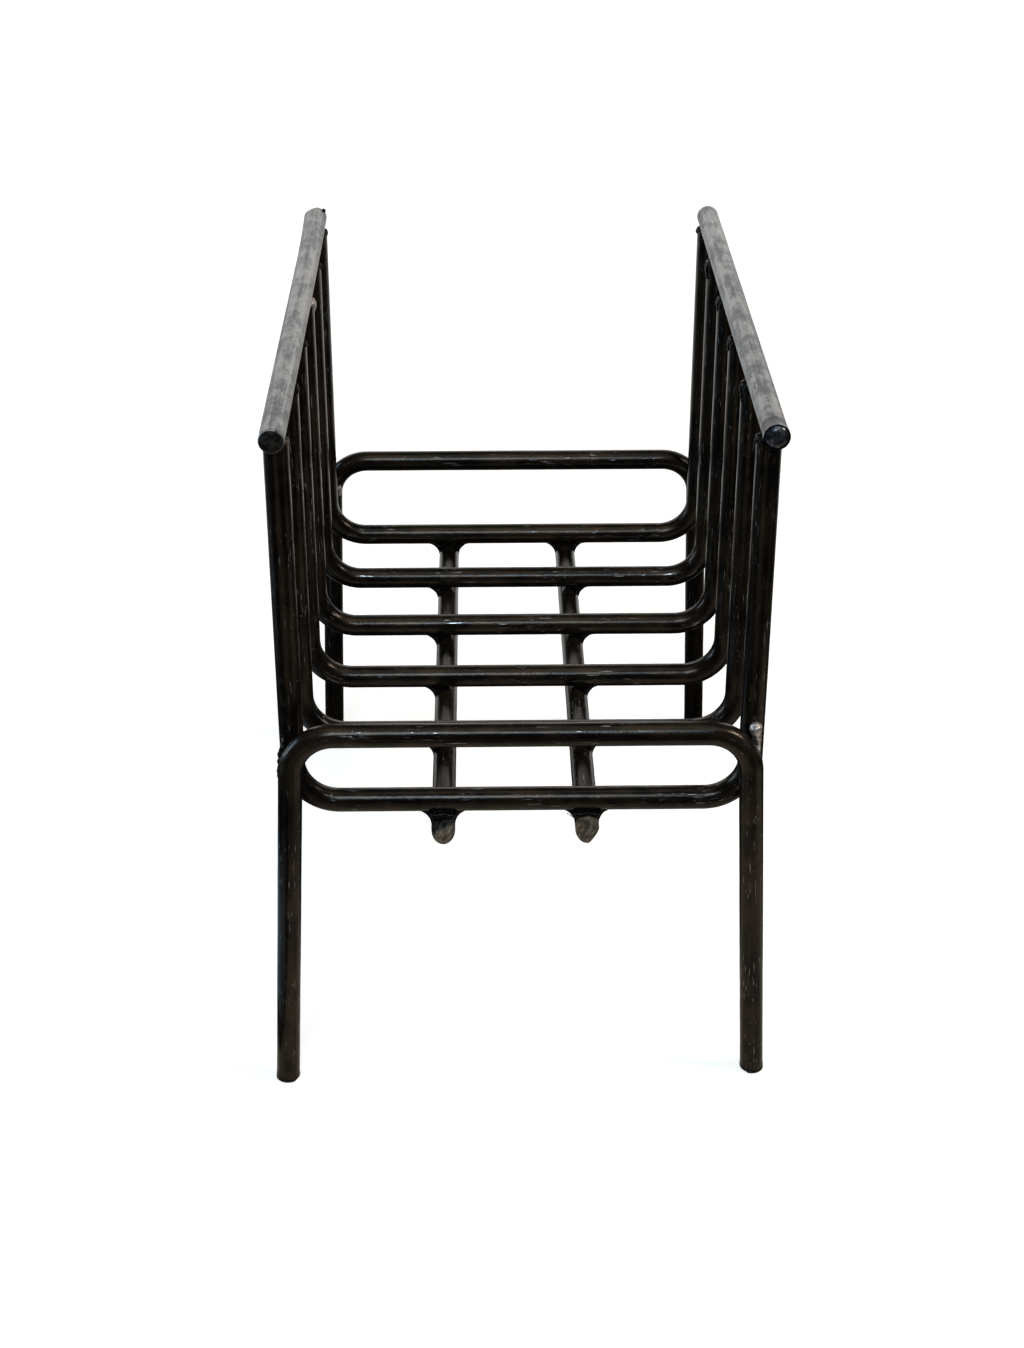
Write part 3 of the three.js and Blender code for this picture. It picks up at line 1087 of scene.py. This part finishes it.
def hollow_block(runner, away, y):
    """A block between a runner's flank and a hoop's underside, hollowed out with a cylinder."""
    corner = middle(runner) + Vector((away * RADIUS, 0, 0))
    corner.y = y
    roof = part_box(HOOPS[0])[0].z + RADIUS
    under = roof - RADIUS
    foot = under - FILLET_DROP
    reach = RADIUS + FILLET_LEG
    bpy.ops.mesh.primitive_cube_add(
        size=1,
        location=(corner.x + away * (reach / 2 - RADIUS), y, (foot + roof) / 2),
        scale=(reach, FILLET_LENGTH, roof - foot),
    )
    block = bpy.context.object
    settle(block)
    far = corner.x + away * (reach - RADIUS)
    pick(block, "VERT", lambda v: abs(v.co.x - far) < HAIR)
    bpy.ops.transform.resize(value=(1, FAR_END, 1), center_override=(far, y, under))
    pick(block, "VERT", lambda v: v.co.z > roof - HAIR)
    bpy.ops.transform.resize(value=(1, ROOF_END, 1), center_override=(corner.x, y, roof))
    bpy.ops.object.mode_set(mode="OBJECT")
    bpy.ops.mesh.primitive_cylinder_add(
        vertices=56, radius=1, depth=4, location=(corner.x + away * FILLET_LEG, y, foot),
        rotation=(math.pi / 2, 0, 0), scale=(FILLET_LEG, FILLET_DROP - FILLET_EDGE, FILLET_LENGTH),
    )
    hollow = bpy.context.object
    settle(hollow)
    carve = block.modifiers.new("hollow", "BOOLEAN")
    carve.operation = "DIFFERENCE"
    carve.object = hollow
    apply_modifier(block, carve)
    bpy.data.objects.remove(hollow)
    return block, corner, under


def runner_weld(node_name):
    runner = "left_runner" if "_left_" in node_name else "right_runner"
    away = 1 if middle(node_name).x > middle(runner).x else -1
    y = middle(node_name).y
    block, corner, under = hollow_block(runner, away, y)
    lumps = [block]
    for i in range(4):
        slide = (i / 3 - 0.5) * FILLET_LENGTH * 0.8
        fat = dice.uniform(0.9, 1.3) * MM
        lumps.append(puddle(corner + Vector((0, slide, under - corner.z)), (fat, fat * 1.5, fat)))
    if "_1" in node_name:
        for i in range(3):
            fat = dice.uniform(1.5, 1.9) * MM
            inwards = (2.2 + 1.9 * i) * MM
            spot = Vector((corner.x - away * inwards, y - 5.0 * MM, under - (1.4 - 0.5 * i) * MM))
            lumps.append(puddle(spot, (fat * 1.2, fat * 0.9, fat)))
    bead = melt(node_name + "_bead", lumps, flow=6, rough=0.35 * MM)
    marks = []
    if node_name == "runner_weld_right_1_inner":
        for _ in range(7):
            step_out = dice.uniform(0.8, 4.0) * MM
            round_off = math.sqrt(1 - ((FILLET_LEG - step_out) / FILLET_LEG) ** 2)
            fall = FILLET_DROP - (FILLET_DROP - FILLET_EDGE) * round_off
            ahead = dice.uniform(2.8, 4.6) * MM
            marks.append(Vector((corner.x + away * step_out, y - ahead, under - fall)))
    crumbs = spatter(marks)
    give(bead, dark_weld)
    for crumb in crumbs:
        give(crumb, bright_weld)
    return join_all([bead, *crumbs])


runner_faces = 0
for node_name in WELDS:
    if node_name.startswith("runner_weld"):
        runner_faces += finish_weld(runner_weld(node_name), node_name, dark_weld)
print("runner welds,", runner_faces, "faces")

# %% [markdown]
# ## Leg frame welds
#
# Each leg frame is tacked to its end hoop in the groove at the shoulder, where the frame bends inwards
# and the hoop goes straight on. The left tacks were run long and low. The right ones are short, high and
# chunky. A small lump on the inner side closes the corner above the bend.

# %% Tack the leg frames to the end hoops
INNER_LUMPS = {  # height above the floor and size of each lump on the inner side
    "frame_weld_front_left": ((207, 2.2), (210, 2.5), (213, 2.0)),
    "frame_weld_front_right": ((209, 1.6), (212, 1.8)),
    "frame_weld_rear_left": ((195, 1.7), (198, 2.2), (201, 1.5)),
    "frame_weld_rear_right": ((208, 1.6), (211, 1.6)),
}


def outer_tack(node_name):
    low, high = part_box(node_name)
    centre = (low + high) / 2
    sign = -1 if centre.x < 0 else 1
    height = high.z - low.z
    lumps = []
    for i in range(9):
        share = i / 8 - 0.5
        uneven = dice.uniform(0.8, 1.2)  # only the long left tacks use it
        if sign < 0:
            fat = (high.x - low.x) * (0.24 + 0.12 * math.cos(share * math.pi)) * uneven
            spot = Vector((centre.x + share * 0.12 * height, centre.y, centre.z + share * (height - 4 * MM)))
        else:
            fat = (1.3 + 1.9 * (share + 0.5)) * dice.uniform(0.9, 1.1) * MM
            spot = Vector((high.x - 0.95 * fat, centre.y, centre.z + share * (height - 3 * MM)))
        spot.y += dice.uniform(-0.8, 0.8) * MM
        lumps.append(puddle(spot, (fat, max(fat, 2.2 * MM) * 1.2, fat * dice.uniform(0.9, 1.3))))
    return melt(node_name + "_outer", lumps, flow=2, rough=0.9 * MM)


def inner_tack(node_name):
    centre = middle(node_name)
    hoop_low, hoop_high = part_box(HOOPS[0])
    inner_x = hoop_low.x + BAR if centre.x < 0 else hoop_high.x - BAR
    lumps = [
        puddle((inner_x, centre.y, z * MM), (size * MM, size * MM, size * MM * 1.2))
        for z, size in INNER_LUMPS[node_name]
    ]
    return melt(node_name + "_inner", lumps, flow=2, rough=0.8 * MM)


def frame_weld(node_name):
    outer, inner = outer_tack(node_name), inner_tack(node_name)
    bright_outside = node_name == "frame_weld_front_right"
    bright_inside = node_name == "frame_weld_rear_left"
    give(outer, bright_weld if bright_outside else dark_weld)
    give(inner, bright_weld if bright_inside else dark_weld)
    return join_all([outer, inner])


for node_name in WELDS:
    if node_name.startswith("frame_weld"):
        print(node_name, finish_weld(frame_weld(node_name), node_name, dark_weld), "faces")

# %% [markdown]
# ## Floor, camera and light
#
# The rack stands on a seamless pale sheet. The camera is about a metre in front of the first hoop and
# well above it, looking down, so that only the sheet fills the frame.
#
# Black steel shows hardly any colour of its own: what the eye sees is what it mirrors. So the sheet is white
# to the eye. In reflections it is painted dark, as painted shade, except far behind the rack, where a
# painted glow draws the thin light line along each upright. A cool window behind the camera draws the long
# highlight on the level bars. The ceiling and backdrop fill their upper sides, warm and cool lamps touch the
# bends from the right and the left edges, and four low cards on the floor light the undersides and the legs.

# %% The pale floor
FLOOR_GLOW = 0.585  # how much the sheet glows where the camera sees it, and in reflections as a painted glow far behind the rack
BACK_STARTS, BACK_FULL = 0.15, 0.65  # metres behind the middle, where the painted glow in reflections begins, and where it is full
# share of white and glow painted into the sheet far behind the rack, seen only in reflections
PAINTED_BACK_GLOW = 0.65
bpy.ops.mesh.primitive_plane_add(size=30, location=(0, 0, 0))
floor = bpy.context.object
floor.name = "pale_floor"
floor_finish, floor_tree, floor_shader = new_material("pale_sheet", 0.0)
seen = node(floor_tree, "LightPath").outputs["Is Camera Ray"]
floor_place = node(floor_tree, "TexCoord").outputs["Object"]
back = node(floor_tree, "SeparateXYZ", {0: floor_place}).outputs[1]
behind = step(floor_tree, back, BACK_STARTS, BACK_FULL)
bright = sums(floor_tree, "MAXIMUM", seen, sums(floor_tree, "MULTIPLY", behind, PAINTED_BACK_GLOW))
# Painted shade and light in reflections: the camera sees the sheet white, other rays see it dark, and
# lighter and glowing far behind the rack.
floor_color = blend(floor_tree, bright, (0.035, 0.035, 0.035), (0.93, 0.93, 0.91))
glow = sums(floor_tree, "MULTIPLY", bright, FLOOR_GLOW)
wire_up(floor_tree, floor_shader, {
    "Base Color": floor_color,
    "Roughness": 0.85,
    "Specular IOR Level": 0.0,
    "Emission Color": (1.0, 1.0, 0.98, 1.0),
    "Emission Strength": glow,
})
give(floor, floor_finish)
print("floor", [round(side) for side in floor.dimensions[:2]], "m")

# %% The camera
LENS = 60.1
STAND = Vector((-0.0203, -1.0080, 0.6295))  # from the middle of the first hoop's bottom run
LOOK_DOWN = 0.503
TURN_RIGHT = 0.015
first_low, first_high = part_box(HOOPS[0])
bay_floor = (first_low + first_high) / 2
bay_floor.z = first_low.z + RADIUS
camera_data = bpy.data.cameras.new("camera")
camera_data.lens = LENS
camera = bpy.data.objects.new("camera", camera_data)
bpy.context.scene.collection.objects.link(camera)
camera.location = bay_floor + STAND
camera.rotation_euler = Euler((math.pi / 2 - LOOK_DOWN, 0, -TURN_RIGHT))
bpy.context.scene.camera = camera
print("camera at", [round(v, 3) for v in camera.location])

# %% The lights
def soft_light(name, place, target, width, height, power, color):
    data = bpy.data.lights.new(name, "AREA")
    data.shape = "RECTANGLE"
    data.size, data.size_y = width, height
    data.energy = power
    data.color = color
    light = bpy.data.objects.new(name, data)
    bpy.context.scene.collection.objects.link(light)
    light.location = place
    light.rotation_euler = (Vector(target) - Vector(place)).to_track_quat("-Z", "Y").to_euler()
    light.visible_camera = False


WARM, COOL = (1.0, 0.90, 0.76), (0.55, 0.78, 1.0)


def floor_card(name, x, y, width, depth, power, color):
    """A glowing card that lies on the floor and faces up."""
    soft_light(name, (x, y, 2 * MM), (x, y, 1), width, depth, power, color)


rack_middle = (cad_low + cad_high) / 2
soft_light("window", (-0.2, -1.88, 2.13), rack_middle, 0.9, 0.50, 20, (0.66, 0.85, 1.0))
soft_light("ceiling", (0.2, -0.7, 2.6), rack_middle, 1.8, 2.2, 10, (1.0, 0.93, 0.82))
soft_light("backdrop", (0, 2.6, 1.0), rack_middle, 3.6, 1.4, 20, (1.0, 0.985, 0.96))
soft_light("warm_right", (1.75, -0.36, 1.70), rack_middle, 0.5, 0.5, 18, WARM)
soft_light("cool_left", (-2.3, 0.4, 0.7), rack_middle, 0.8, 1.0, 16, COOL)
floor_card("right_card", 0.22, -0.27, 0.76, 0.34, 0.36, WARM)
floor_card("front_card", -0.16, -0.80, 0.50, 0.30, 0.20, WARM)
floor_card("left_card", -0.27, -0.15, 0.14, 0.36, 0.08, COOL)
floor_card("far_left_card", -0.72, -0.15, 0.20, 0.40, 0.12, COOL)

world = bpy.data.worlds.new("surround")
bpy.context.scene.world = world
world.use_nodes = True
sky = world.node_tree
background = sky.nodes["Background"]
place = node(sky, "TexCoord").outputs["Generated"]
height = node(sky, "SeparateXYZ", {0: place}).outputs[2]
overhead = node(sky, "MapRange", {"Value": height, "From Min": 0.35, "From Max": 0.9}).outputs[0]
sky_color = blend(sky, overhead, (0.05, 0.06, 0.07), (0.15, 0.135, 0.115))
wire_up(sky, background, {"Color": sky_color, "Strength": 1.0})
bpy.context.scene.view_settings.view_transform = "Standard"
print(len(bpy.data.lights), "soft lights and a dim surround")
